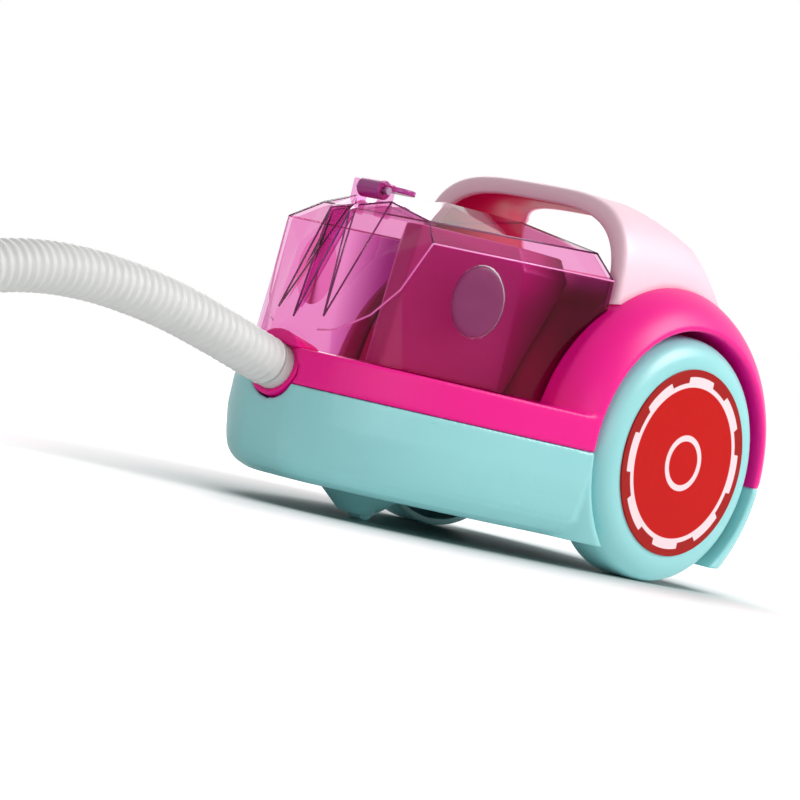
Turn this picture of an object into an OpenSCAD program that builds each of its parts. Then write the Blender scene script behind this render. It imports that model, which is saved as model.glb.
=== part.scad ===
// Toy canister vacuum cleaner with a see-through bin, two large wheels and a ribbed hose.
// The front points along -X, the left side along -Y and +Z is up. The floor is at Z = 0.

/* [Body] */
// Distance from the wheel axle forward to the nose
nose_reach = 172; // [165:1:180]
// Radius of the rear body between the two arches
barrel_r = 70; // [68.5:0.5:72]
// How far the arches' lands stand above the barrel
ridge_rise = 1; // [0.5:0.1:2]
// Half width of the body at the rims of the wheel arches
arch_half = 75; // [74:0.5:78]
// Half width of the flat at the nose
nose_half = 10; // [8:0.5:14]
// Height of the underside above the floor
floor_gap = 11; // [10:0.5:12]
// Height of the seam between the two shells
seam_h = 48; // [46:0.5:49]
// Height of the band above the seam
band_h = 14.5; // [13:0.5:16]
// Wall thickness of the moulded shells
wall = 2; // [1.6:0.1:2.4]

/* [Wheels] */
// Radius of a rear wheel, which is also the height of the axle
wheel_r = 52; // [51:0.5:53]
// Distance from the middle plane to the outer face of a wheel
wheel_face = 76.2; // [75:0.1:80]
// Width of a wheel
wheel_w = 24.2; // [22:0.1:25]
// Gap between a wheel and its arch
wheel_gap = 3; // [2:0.5:3.5]
// Radius of the axle rod
axle_r = 3; // [2:0.25:4]
// Radius of the printed disc on a wheel
disc_r = 39.5; // [34:0.5:41]
// Thickness of the printed disc
disc_t = 0.8; // [0.4:0.1:1.2]

/* [Bin] */
// Thickness of the clear bin cover
bin_t = 2; // [1.6:0.1:2.6]
// Half width of the bin cover at its front corners
bin_front_half = 41; // [38:0.5:43]
// Half width of the bin cover at its rear end
bin_rear_half = 57; // [54:0.5:58]
// Height of the bin cover's side walls at the front, above the deck
bin_wall_rise = 52; // [48:0.5:54]
// Rise of the bin cover's roof above its side walls
bin_roof_rise = 21; // [18:0.5:24]
// How far the bin cover lifts off
bin_lift = 50; // [20:5:60]

/* [Handle] */
// Rise of the handle above the arches' lands
handle_rise = 30.5; // [28:0.5:36]
// Half span of the handle
handle_half = 59; // [58.5:0.5:59.5]
// Thickness of the handle strap
strap_t = 7.2; // [6:0.2:7.4]
// Thickness of the lining under the strap
lining_t = 2; // [1.5:0.1:3]

/* [Caster] */
// Radius of the front roller
roller_r = 4.5; // [3.5:0.25:4.5]
// Width of the front roller
roller_w = 9; // [7:0.5:10]
// Radius of the top of the caster turret
turret_r = 17; // [14:0.5:18]
// Radius of the caster's upright stem
stem_r = 4; // [3:0.25:5]

/* [Hose] */
// Radius over the ribs of the hose
hose_r = 10; // [9:0.1:10.3]
// Depth of the groove between two ribs
rib_d = 1.1; // [0.8:0.1:1.4]
// Radius of the bore of the hose
hose_bore = 7.6; // [6.5:0.1:8]
// Radius of the bore of the end connector
connector_bore = 8; // [7:0.1:8.6]

/* [Hidden] */
$fn = 72;
clear = 0.3;
run_clear = 0.05;
fit_clear = 0.1;

// Places along the body
ridge_r = barrel_r + ridge_rise;
axle_x = (nose_reach - ridge_r) / 2;
axle_h = wheel_r;
nose_x = axle_x - nose_reach;
deck_h = seam_h + band_h;
land_h = axle_h + ridge_r;
bin_side_h = deck_h + bin_wall_rise;
bin_top_h = bin_side_h + bin_roof_rise;
handle_h = land_h + handle_rise;
well_r = wheel_r + wheel_gap;
well_in = wheel_face - wheel_w - 3;
well_out = arch_half + 20;
rim_r = well_r + wall;
land_half = 4;
land_mid = 56;
land_in = land_mid - land_half;
land_out = land_mid + land_half;
// Length and height that reach past the whole body, for cuts
far = 2 * nose_reach;
sky = 2 * land_h;

// Widest points of the outline's curve from the nose to the wheel arch
brow_half = 44;
flank_half = 62;
brow_run = 6;
flank_run = 112;
curve_steps = 14;
flank_end = 30;
flank_step = 0.3;
foot_round = [[14, 0], [7, 3], [3.2, 8], [1.2, 16], [0, 26]];

// Inside pieces
cover_rear = axle_x - ridge_r - 3.5;
cover_len = cover_rear - nose_x;
cover_lean = 24.5;
motor_x = nose_x + 0.805 * cover_len;
motor_r = 12;
motor_len = 26;
motor_drop = 0.3;
shaft_r = 1;
fan_r = 14;
fan_t = 6;
fan_lift = 2;
cover_shoulder = bin_side_h - 0.5;
cover_top = bin_side_h + 8.5;
cover_half = 36;
cover_crown = 30;
screen_x = nose_x + 0.897 * cover_len;
screen_len = 14;
screen_w = 34;
cell_r = 7.1;
cell_len = 50;
cell_x = axle_x - 46.5;
cell_pitch = 18;
tray_t = 1.5;
board_t = 1.6;
board_z = 40;
board_x = axle_x + 0.36 * barrel_r;
board_len = 42;
board_w = 36;
speaker_r = barrel_r / 5;
speaker_t = 9;
screw_r = 1.5;
screw_head = 3;
screw_front = [nose_x + 27.5, 18];
screw_rear = [axle_x + 48, 34];
screw_seats = [for (p = [screw_front, screw_rear], s = [-1, 1]) [p[0], s * p[1]]];

// Power button on the rear of the barrel
button_turn = 35;
button_r = 8;
button_proud = 3;
button_travel = 2;
button_len = 15;
switch_len = 7;

// Latch on the bin cover
bin_corner = nose_x + 30.5;
latch_x = bin_corner + 3;
latch_z = bin_top_h - 3.9;
latch_r = 4;
latch_half = 6;
latch_pin_r = 1.5;
ear_t = 2.2;
tab_reach = 21;
tab_t = 2.2;
tab_half = 8;

// Handle in side view
strap_front = axle_x - 44;
strap_top_rear = axle_x - 14;
strap_foot_rear = axle_x + 27;
arch_power = 3.8;
arch_foot = land_h - 23;
lining_rim = 3;

// Caster under the nose half
caster_x = nose_x + 65.8;
caster_trail = 3;
turret_low = 2;
turret_low_r = 7;
stem_top = 27;
roller_pin_r = 1.5;

// Hose socket, tilted upwards
mouth = [nose_x, 0, seam_h + 5.5];
hose_tilt = 13;
hose_dir = [-cos(hose_tilt), 0, sin(hose_tilt)];
socket_deep = 24;
socket_t = 2.2;
plug_deep = 20;
plug_out = 3;
plug_r = hose_r - 0.5;
collar_t = 2.6;
collar_run = 14;

// Route of the hose: it rises from the socket, arches down to the floor and bends round beside the nose
hose_start = mouth + plug_out * hose_dir;
route = concat(
    [hose_start, hose_start + 20 * hose_dir],
    [[-164, 0, 63.2], [-184, 0, 67], [-204, 0, 69.5], [-224, 0, 70.8], [-244, 0, 70.4]],
    [[-263, 0, 68.1], [-282, 1, 63.6], [-301, 3, 56.6], [-319, 7, 47.6], [-336, 13, 37.4]],
    [[-353, 21, 27.2], [-370, 31, 18.8], [-387, 44, 13.2], [-402, 59, 10.9], [-412.5, 77, 10.4]],
    [[-419, 97, 10.4], [-422, 118, 10.4], [-423, 138, 10.4], [-423, 157, 10.4]]
);
ribs_per_run = 5;
hose_sides = 8;
connector_r = 10.2;
connector_len = 46;
connector_seat = 28;

// Points of the outline

function mix(a, b, t) = a + (b - a) * t;
function curve(p, t) = pow(1 - t, 3) * p[0] + 3 * pow(1 - t, 2) * t * p[1]
    + 3 * (1 - t) * t * t * p[2] + pow(t, 3) * p[3];
function slope(p, t) = pow(1 - t, 2) * (p[1] - p[0]) + 2 * (1 - t) * t * (p[2] - p[1])
    + t * t * (p[3] - p[2]);
function unit(v) = v / norm(v);

flank = [
    [nose_x, nose_half],
    [nose_x + brow_run, brow_half],
    [axle_x - flank_run, flank_half],
    [axle_x - rim_r, arch_half - flank_step]
];

// Half of the body's outline seen from above, moved inwards by d
function half_outline(d) = concat(
    [[nose_x + d, 0]],
    [for (i = [0 : curve_steps])
        let (t = i / curve_steps, n = unit(slope(flank, t)))
        curve(flank, t) + d * [n[1], -n[0]]],
    [[axle_x - flank_end + 2 * d, arch_half - flank_step - d], [axle_x - flank_end + 2 * d, 0]]
);
function both_halves(p) = concat(p, [for (i = [len(p) - 1 : -1 : 0]) [p[i][0], -p[i][1]]]);

module outline(d = 0) polygon(both_halves(half_outline(d)));
module slab(d, z) translate([0, 0, z]) linear_extrude(0.01) outline(d);

// Cylinder across the body on the axle line, between two values of Y
module across(r, y0, y1) translate([axle_x, y0, axle_h]) rotate([-90, 0, 0]) cylinder(r = r, h = y1 - y0);
module both_sides() {
    children();
    mirror([0, 1, 0]) children();
}

// Section of the rear body, radius against Y, with the arches' lands and rounded flanks
function flank_point(t, d) =
    let (bulge = 2 * 4 * t * (1 - t))
    [mix(ridge_r, rim_r, t) + bulge * 0.7 - d * 0.8, mix(land_out, arch_half, t) + bulge * 0.7 - d * 0.6];
function rear_half(d) = concat(
    [[barrel_r - d, land_in - 2 + d], [ridge_r - d, land_in + d]],
    [for (i = [0 : 8]) flank_point(i / 8, d)],
    [[0, arch_half - d]]
);
function rear_section(d) =
    let (p = rear_half(d), n = len(p))
    concat(p, [for (i = [n - 1 : -1 : 0]) [p[i][0], -p[i][1]]]);
module rear_body(d = 0) translate([axle_x, 0, axle_h])
    rotate([-90, 0, 0]) rotate_extrude() polygon(rear_section(d));
module well_blocks() both_sides() across(rim_r, well_in - wall, well_out);
module wheel_wells() both_sides() across(well_r, well_in, well_out);

// Slice of the space between two heights
module between(z0, z1) translate([-far, -far, z0]) cube([2 * far, 2 * far, z1 - z0]);

module on_hose_axis(s) translate(mouth + s * hose_dir) rotate([0, hose_tilt - 90, 0]) children();
module hose_hole() on_hose_axis(-socket_deep - wall) cylinder(r = hose_r + socket_t + fit_clear, h = 60);

// Casings

module lower_form(d) {
    hull() {
        for (f = foot_round) slab(f[0] + d, floor_gap + f[1] + (f[1] == 0 ? d : 0));
        slab(d, seam_h - 0.01 + (d > 0 ? 1 : 0));
    }
    intersection() {
        rear_body(d);
        between(floor_gap + d, seam_h + (d > 0 ? 1 : 0));
    }
}
module lower_space() difference() {
    lower_form(wall);
    well_blocks();
}

module lower_shell() color("#8fd3d3") difference() {
    union() {
        difference() {
            lower_form(0);
            lower_space();
        }
        // Axle posts
        both_sides() translate([axle_x - 7, 36, floor_gap + 1]) cube([14, 7, axle_h - floor_gap + 6]);
        // Caster boss, screw bosses and board posts
        translate([caster_x, 0, floor_gap]) cylinder(r = stem_r + 3, h = stem_top - floor_gap - 1.5);
        for (p = screw_seats) translate([p[0], p[1], floor_gap]) cylinder(r = 4.5, h = seam_h - floor_gap);
        for (sx = [-1, 1], sy = [-1, 1])
            translate([board_x + sx * (board_len / 2 - 3), sy * (board_w / 2 - 3), floor_gap + 1])
                cylinder(r = 2.5, h = board_z - floor_gap - 1);
    }
    wheel_wells();
    hose_hole();
    across(axle_r + run_clear, -60, 60);
    across(axle_r + 3 + clear, well_in - wall - 2, well_in + 1);
    mirror([0, 1, 0]) across(axle_r + 3 + clear, well_in - wall - 2, well_in + 1);
    translate([caster_x, 0, 0]) cylinder(r = stem_r + run_clear, h = stem_top + 1);
    for (p = screw_seats) translate([p[0], p[1], 0]) {
        cylinder(r = screw_r + 0.2, h = seam_h + 1);
        cylinder(r = screw_head + 0.4, h = floor_gap + 5);
    }
    door_form(clear, 1);
}

module upper_form(d) {
    intersection() {
        rear_body(d);
        between(seam_h - (d > 0 ? 1 : 0), sky);
    }
    translate([0, 0, seam_h - (d > 0 ? 1 : 0)]) linear_extrude(band_h - d + (d > 0 ? 1 : 0)) outline(d);
}

module upper_shell() color("#f0118f") difference() {
    union() {
        difference() {
            upper_form(0);
            difference() {
                upper_form(wall);
                well_blocks();
            }
        }
        // Screw posts and the button's guide
        for (p = screw_seats) translate([p[0], p[1], seam_h])
            cylinder(r = 4, h = p[0] < 0 ? band_h - 1 : post_top(p[0]) - seam_h);
        on_button_axis(barrel_r - button_len - switch_len + 3)
            cylinder(r = button_r + clear + 1.8, h = button_len + switch_len - 4.5);
        at_handle_screws(handle_screw_top) cylinder(r = screw_head + 0.6, h = wall);
    }
    wheel_wells();
    hose_hole();
    both_sides() across(axle_r + 3 + clear, well_in - wall - 2, well_in + 1);
    translate([motor_x, 0, seam_h]) cylinder(r = 4, h = 40);
    for (p = screw_seats) translate([p[0], p[1], seam_h - 1]) cylinder(r = screw_r + run_clear, h = 11);
    on_button_axis(barrel_r - button_len - switch_len) cylinder(r = button_r + clear, h = 60);
    handle_screw_holes(screw_r + fit_clear);
}
function post_top(x) = axle_h + sqrt(pow(barrel_r - wall / 2, 2) - pow(x + 4 - axle_x, 2));
module on_button_axis(s) translate([axle_x, 0, axle_h])
    rotate([0, button_turn, 0]) translate([0, 0, s]) children();

// Bin cover: a faceted, see-through hood, with walls that follow the band

bin_z = deck_h + clear;
bin_rear = strap_front - 2;
side_turn = atan((bin_rear_half - bin_front_half) / (bin_rear - bin_corner));
grip_x = bin_corner + 28.5;
grip_z = bin_z + 33.5;
grip_a = 13.3;
grip_b = 12.6;
grip_proud = 0.5;
grip_half = bin_front_half + (grip_x - bin_corner) * tan(side_turn);
module point(p) translate(p) cube(0.02, center = true);
module pair(p) both_sides() point(p);

module bin_hull(d) hull() {
    zb = bin_z - (d > 0 ? 1 : 0);
    pair([nose_x + 5 + d, 8 - d / 2, zb]);
    pair([nose_x + 9 + d * 0.8, 20 - d * 0.8, zb]);
    pair([nose_x + 17 + d * 0.7, bin_front_half - 10 - d * 0.7, zb]);
    pair([bin_corner + d * 0.4, bin_front_half - d, zb]);
    pair([bin_rear - d, bin_rear_half - d, zb]);
    // Front corners, shoulders and ridge of the roof
    pair([bin_corner + d * 0.6, bin_front_half - d, bin_side_h - d * 0.4]);
    pair([bin_rear - d, bin_rear_half - d, bin_side_h + 4 - d * 0.5]);
    pair([bin_corner + 7 + d, bin_front_half - 11 - d * 0.5, bin_top_h - 12.3 - d]);
    pair([bin_rear - d, bin_rear_half - 12 - d * 0.5, bin_top_h - 7 - d]);
    pair([bin_corner + 1 + d, 12, bin_top_h - 9.5 - d]);
    point([bin_corner + 14, 0, bin_top_h - 7.5 - d]);
    point([bin_corner + 46, 0, bin_top_h - 1 - d]);
    point([bin_rear - d, 0, bin_top_h - d]);
    // Middle of the front, leaning back
    pair([nose_x + 17 + d, 9 - d * 0.3, bin_top_h - 14.5 - d]);
    pair([nose_x + 4.5 + d, 7 - d * 0.4, bin_z + 11]);
}
// Pleat down the middle of the front, wide at the top
module bin_pleat(d) hull() {
    translate([0, 0, bin_top_h - 13]) {
        pair([nose_x + 10, 12 + d * 1.4, 8]);
        point([nose_x + 25 + d * 1.6, 0, 8]);
    }
    pair([nose_x - 4, 4 + d * 1.4, bin_z + 10 - d]);
    point([nose_x + 6 + d * 1.6, 0, bin_z + 10 - d]);
}

// Oval thumb grip on a side wall
module side_grip() translate([grip_x, grip_half, grip_z]) rotate([0, 0, side_turn]) translate([0, -1, 0])
    rotate([-90, 0, 0]) linear_extrude(1 + grip_proud)
        polygon([for (i = [0 : 35]) [grip_a * cos(10 * i), grip_b * sin(10 * i)]]);

module bin_cover() color("#c2187f", 0.55) difference() {
    union() {
        difference() {
            bin_hull(0);
            bin_pleat(0);
        }
        both_sides() translate([latch_x - 4, latch_half + clear, bin_top_h - 14])
            cube([8, ear_t, latch_z + 3 - bin_top_h + 14]);
        both_sides() side_grip();
    }
    difference() {
        bin_hull(bin_t);
        bin_pleat(bin_t);
    }
    across(ridge_r + clear, -far, far);
    collar_form(clear);
    on_hose_axis(-socket_deep) cylinder(r = hose_r + socket_t + clear, h = socket_deep);
    translate([latch_x, -20, latch_z]) rotate([-90, 0, 0]) cylinder(r = latch_pin_r + run_clear, h = 40);
}

module bin_latch() color("#c2187f", 0.7) difference() {
    union() {
        translate([latch_x, -latch_half, latch_z]) rotate([-90, 0, 0])
            cylinder(r = latch_r, h = 2 * latch_half);
        translate([latch_x, -latch_half, latch_z + 0.6]) cube([tab_reach - 8, 2 * latch_half, tab_t]);
        intersection() {
            translate([latch_x + tab_reach - tab_half, 0, latch_z + 0.6]) cylinder(r = tab_half, h = tab_t);
            translate([latch_x + latch_r + 2, -20, 0]) cube([40, 40, 200]);
        }
    }
    translate([latch_x, -20, latch_z]) rotate([-90, 0, 0]) cylinder(r = latch_pin_r + run_clear, h = 40);
}

module latch_pin() color("silver") translate([latch_x, -latch_half - ear_t - clear, latch_z])
    rotate([-90, 0, 0]) cylinder(r = latch_pin_r, h = 2 * (latch_half + ear_t + clear));

// Handle: a wide strap arched from one wheel arch to the other

function arch_points(in, n = 40) = [for (i = [0 : n])
    let (a = 180 * i / n, c = cos(a), s = sin(a), q = 2 / arch_power)
    [sign(c) * (handle_half - in) * pow(abs(c), q), arch_foot + (handle_h - arch_foot - in) * pow(s, q)]];
function reversed(p) = [for (i = [len(p) - 1 : -1 : 0]) p[i]];

module arch_band(out, in, x0, x1) translate([x0, 0, 0]) rotate([90, 0, 90]) linear_extrude(x1 - x0)
    polygon(concat(arch_points(out), reversed(arch_points(in))));
module strap_side(d) translate([0, far, 0]) rotate([90, 0, 0]) linear_extrude(2 * far) polygon([
    [strap_front + d, axle_h],
    [strap_front + d, sky],
    [strap_top_rear - d - 4, sky],
    [strap_top_rear - d, handle_h - 4],
    [axle_x + 6 - d, handle_h - 13],
    [strap_foot_rear - d, axle_h + barrel_r - 4],
    [strap_foot_rear - d, axle_h]
]);

screw_back = 10;
screw_bite = 6;
handle_screw_top = axle_h + sqrt(pow(barrel_r - wall, 2) - pow(screw_back + screw_head, 2)) - clear;
module at_handle_screws(z) both_sides() translate([axle_x - screw_back, land_mid - 0.6, z]) children();
module handle_screw_holes(r) at_handle_screws(axle_h) cylinder(r = r, h = ridge_r + screw_bite);

module handle() color("#f5d3df") difference() {
    intersection() {
        arch_band(0, strap_t, strap_front, strap_foot_rear);
        strap_side(0);
    }
    intersection() {
        arch_band(strap_t - lining_t, strap_t + 1, strap_front, strap_foot_rear);
        strap_side(lining_rim);
    }
    across(ridge_r + run_clear, -far, far);
    handle_screw_holes(screw_r + run_clear);
}

module handle_lining() color("#c80a4a") difference() {
    intersection() {
        arch_band(strap_t - lining_t + fit_clear, strap_t, strap_front, strap_foot_rear);
        strap_side(lining_rim + fit_clear);
    }
    across(ridge_r + clear, -far, far);
}

module handle_screws() color("silver") at_handle_screws(handle_screw_top) {
    translate([0, 0, -2.7]) cylinder(r = screw_head, h = 2.7);
    translate([0, 0, -0.5]) cylinder(r = screw_r, h = land_h + screw_bite - handle_screw_top);
}

// Wheels

function wheel_section() = [
    [axle_r + run_clear, 0], [9, 0], [9, wheel_w - 3], [wheel_r - 5, wheel_w - 5], [wheel_r - 3, wheel_w - 8],
    [wheel_r - 3, 0], [wheel_r - 0.6, 0], [wheel_r, 1], [wheel_r, wheel_w - 9], [wheel_r - 0.6, wheel_w - 6],
    [wheel_r - 2.6, wheel_w - 3.2], [wheel_r - 6, wheel_w - 1.2], [disc_r + 1.2, wheel_w], [7.5, wheel_w],
    [7.5, wheel_w - 6.2], [axle_r + run_clear, wheel_w - 6.2]
];
module wheel() translate([axle_x, wheel_face - wheel_w, axle_h]) rotate([-90, 0, 0])
    rotate_extrude($fn = 96) polygon(wheel_section());
module disc() across(disc_r, wheel_face, wheel_face + disc_t);

module left_wheel() color("#8fd3d3") mirror([0, 1, 0]) wheel();
module right_wheel() color("#8fd3d3") wheel();
module left_disc() color("#d31c12") mirror([0, 1, 0]) disc();
module right_disc() color("#d31c12") disc();

module wheel_axle() color("silver") across(axle_r, -wheel_face + 3, wheel_face - 3);
module axle_caps() color("dimgray") both_sides() difference() {
    across(6.5, wheel_face - 6, wheel_face - 2);
    across(axle_r + 0.02, wheel_face - 7, wheel_face - 2.9);
}
module wheel_spacers() color("white") both_sides() difference() {
    across(axle_r + 3, 43.2, wheel_face - wheel_w - clear);
    across(axle_r + run_clear, 40, 60);
}

// Caster

roller_x = caster_x + caster_trail;
module caster_turret() color("#8fd3d3") difference() {
    union() {
        translate([caster_x, 0, turret_low])
            cylinder(r1 = turret_low_r, r2 = turret_r, h = floor_gap - clear - turret_low);
        translate([caster_x, 0, floor_gap - 2]) cylinder(r = stem_r, h = stem_top - floor_gap + 2);
    }
    translate([roller_x, -roller_w / 2 - clear, roller_r]) rotate([-90, 0, 0])
        cylinder(r = roller_r + 0.6, h = roller_w + 2 * clear);
    translate([roller_x, -30, roller_r]) rotate([-90, 0, 0]) cylinder(r = roller_pin_r + run_clear, h = 60);
    translate([caster_x, 0, stem_top - 1.4]) difference() {
        cylinder(r = stem_r + 1, h = 1);
        translate([0, 0, -1]) cylinder(r = stem_r - 1, h = 3);
    }
}
module caster_roller() color("#79c2c4") translate([roller_x, 0, roller_r]) rotate([-90, 0, 0])
    rotate_extrude() polygon([
        [roller_pin_r + run_clear, -roller_w / 2], [roller_r - 1, -roller_w / 2],
        [roller_r, -roller_w / 2 + 1], [roller_r, roller_w / 2 - 1],
        [roller_r - 1, roller_w / 2], [roller_pin_r + run_clear, roller_w / 2]
    ]);
module roller_pin() color("silver") translate([roller_x, -roller_w / 2 - 2.5, roller_r]) rotate([-90, 0, 0])
    cylinder(r = roller_pin_r, h = roller_w + 5);
module caster_clip() color("dimgray") translate([caster_x, 0, stem_top - 1.3]) difference() {
    cylinder(r = stem_r + 2.5, h = 0.8);
    translate([0, 0, -1]) cylinder(r = stem_r - 0.95, h = 3);
}

// Hose and its fittings

module collar_form(d) intersection() {
    on_hose_axis(-collar_run - d)
        cylinder(r = hose_r + socket_t + collar_t + d, h = collar_run + plug_out + d);
    between(deck_h, sky);
    translate([nose_x, -far, 0]) cube(2 * far);
}
module hose_socket() color("#f0118f") difference() {
    union() {
        on_hose_axis(-socket_deep) cylinder(r = hose_r + socket_t, h = socket_deep - 1);
        collar_form(0);
    }
    on_hose_axis(-socket_deep + 2) cylinder(r = plug_r + fit_clear, h = socket_deep + 10);
    on_hose_axis(-socket_deep - 1) cylinder(r = hose_bore, h = 10);
}
module hose_plug() color("#e0e0de") difference() {
    on_hose_axis(-plug_deep) cylinder(r = plug_r, h = plug_deep + plug_out);
    on_hose_axis(-plug_deep - 1) cylinder(r = hose_bore, h = plug_deep + plug_out + 2);
}

runs = len(route) - 1;
function at_end(i) = route[max(0, min(runs, i))];
function tangent(i) = i == 0 ? route[1] - route[0]
    : i == runs ? route[runs] - route[runs - 1]
    : (route[i + 1] - route[i - 1]) / 2;
// Smooth curve through the route's points, u counted in runs
function along(u) =
    let (i = min(runs - 1, floor(u)), t = u - i, a = at_end(i), b = at_end(i + 1),
        da = tangent(i), db = tangent(i + 1))
    (2 * t * t * t - 3 * t * t + 1) * a + (t * t * t - 2 * t * t + t) * da
    + (3 * t * t - 2 * t * t * t) * b + (t * t * t - t * t) * db;
function heading(u) = u <= 0 ? unit(tangent(0)) : u >= runs ? unit(tangent(runs))
    : unit(along(u + 0.01) - along(u - 0.01));
function ring(u, r) =
    let (h = heading(u), side = unit(cross(h, [0, 0, 1])), up = cross(side, h))
    [for (k = [0 : hose_sides - 1]) let (a = 360 * k / hose_sides)
        along(u) + r * (cos(a) * side + sin(a) * up)];

outer_rings = 2 * ribs_per_run * runs;
inner_rings = ribs_per_run * runs;
function outer_radius(k) = k == 0 || k == outer_rings || k % 2 == 1 ? hose_r : hose_r - rib_d;
function ring_faces(base, count, flip) = [for (i = [0 : count - 1], k = [0 : hose_sides - 1])
    let (a = base + i * hose_sides + k, b = base + i * hose_sides + (k + 1) % hose_sides,
        c = a + hose_sides, d = b + hose_sides)
    each flip ? [[a, c, b], [b, c, d]] : [[a, b, c], [b, d, c]]];

module hose() color("#e0e0de") {
    outer = [for (k = [0 : outer_rings]) each ring(k / (2 * ribs_per_run), outer_radius(k))];
    inner = [for (k = [0 : inner_rings]) each ring(k / ribs_per_run, hose_bore)];
    start = len(outer);
    last_out = outer_rings * hose_sides;
    last_in = start + inner_rings * hose_sides;
    ends = [for (k = [0 : hose_sides - 1]) let (n = (k + 1) % hose_sides)
        each [[k, start + k, n], [n, start + k, start + n],
            [last_out + k, last_out + n, last_in + k], [last_out + n, last_in + n, last_in + k]]];
    polyhedron(
        concat(outer, inner),
        concat(ring_faces(0, outer_rings, false), ring_faces(start, inner_rings, true), ends)
    );
}

module hose_connector() color("#f0118f") translate(route[runs]) rotate([-90, 0, 0]) rotate_extrude()
    polygon([
        [hose_bore, 0], [connector_r, 0], [connector_r, 6], [connector_r - 0.8, 7], [connector_r - 0.8, 9],
        [connector_r, 10], [connector_r, 13], [connector_r - 0.8, 14], [connector_r - 0.8, 16],
        [connector_r, 17],
        [connector_r, connector_len - 1], [connector_r - 1, connector_len], [connector_bore, connector_len],
        [connector_bore, connector_len - connector_seat], [hose_bore - 1, connector_len - connector_seat],
        [hose_bore - 1, 4], [hose_bore, 4]
    ]);

// Inside pieces

module filter_hull(d) hull() {
    zb = deck_h + 0.01 - (d > 0 ? 1 : 0);
    pair([nose_x + 0.57 * cover_len + d * 1.2, 4 - d / 2, zb]);
    pair([cover_rear - 4 + d / 2, cover_half - d, zb]);
    pair([cover_rear - d, cover_half - d, zb]);
    pair([nose_x + 0.63 * cover_len + d * 1.2, 4 - d / 2, cover_top - d]);
    pair([cover_rear - 4 + d / 2, cover_half - d, cover_shoulder]);
    pair([cover_rear + cover_lean - d, cover_half - d, cover_shoulder]);
    pair([cover_rear - 4 + d / 2, cover_crown - d, cover_top - d]);
    pair([cover_rear + cover_lean - d, cover_crown - d, cover_top - d]);
}
module screen_form(d, z0, z1) translate([screen_x - screen_len / 2 + d, -screen_w / 2 + d, z0])
    cube([screen_len - 2 * d, screen_w - 2 * d, z1 - z0]);
module filter_cover() color("#d40d7d") difference() {
    filter_hull(0);
    filter_hull(wall);
    screen_form(0, cover_top - wall - 1, cover_top + 1);
}
module filter_screen() color("#b784b0") screen_form(fit_clear, cover_top - wall, cover_top);

module fan() color("white") translate([motor_x, 0, deck_h + fan_lift]) difference() {
    union() {
        cylinder(r = 4, h = fan_t + 1);
        cylinder(r = fan_r, h = 1);
        for (k = [0 : 7]) rotate([0, 0, 45 * k]) translate([3, -0.6, 0.5])
            cube([fan_r - 4, 1.2, fan_t - 0.5]);
    }
    translate([0, 0, -1]) cylinder(r = shaft_r + 0.01, h = fan_t + 4);
}
module motor_shaft() color("silver") translate([motor_x, 0, deck_h - 12])
    cylinder(r = shaft_r, h = 12 + fan_lift + fan_t);
module motor() color("dimgray") difference() {
    translate([motor_x, 0, deck_h - wall - motor_drop - motor_len]) cylinder(r = motor_r, h = motor_len);
    translate([motor_x, 0, deck_h - 12.5]) cylinder(r = shaft_r + run_clear, h = 40);
}
module motor_clamp() color("white") translate([motor_x, 0, deck_h - wall - 16]) difference() {
    cylinder(r = motor_r + 2, h = 16);
    translate([0, 0, -1]) cylinder(r = motor_r + fit_clear, h = 20);
}

tray_len = cell_len + 6;
tray_w = 2 * cell_pitch + 2 * tray_t + 2;
tray_h = 2 * cell_r + tray_t + 2;
tray_z = floor_gap + wall;
door_screw_r = screw_r - 0.7;
module door_form(d, extra) translate([cell_x - cell_len / 2 - d, -cell_pitch - d, floor_gap - extra])
    cube([cell_len + 2 * d, 2 * cell_pitch + 2 * d, wall + 2 * extra]);
module battery_tray() color("#303030") difference() {
    translate([cell_x - tray_len / 2, -tray_w / 2, tray_z]) cube([tray_len, tray_w, tray_h]);
    translate([cell_x - tray_len / 2 + tray_t, -tray_w / 2 + tray_t, tray_z - 1])
        cube([tray_len - 2 * tray_t, tray_w - 2 * tray_t, tray_h - tray_t + 1]);
    translate([cell_x, 0, tray_z]) cylinder(r = door_screw_r + run_clear, h = tray_h + 1);
}
module batteries() color("#c9a227") for (s = [-1, 1])
    translate([cell_x - cell_len / 2, s * cell_pitch / 2, tray_z + clear + cell_r]) rotate([0, 90, 0]) {
        cylinder(r = cell_r, h = cell_len - 1);
        cylinder(r = 2.6, h = cell_len);
    }
module battery_contacts() color("silver") for (sx = [-1, 1], sy = [-1, 1])
    translate([cell_x + sx * (cell_len / 2 + 0.9) - 0.3, sy * cell_pitch / 2 - 5, tray_z + 1])
        cube([0.6, 10, 12]);
module battery_door() color("#8fd3d3") difference() {
    door_form(0, 0);
    translate([cell_x, 0, 0]) cylinder(r = door_screw_r + fit_clear, h = 40);
    translate([cell_x, 0, floor_gap - 1]) cylinder(r = screw_head, h = 2);
}
module door_screw() color("silver") translate([cell_x, 0, floor_gap]) {
    translate([0, 0, 0.2]) cylinder(r = screw_head - 0.2, h = 0.8);
    cylinder(r = door_screw_r, h = tray_h + 1);
}

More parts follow.
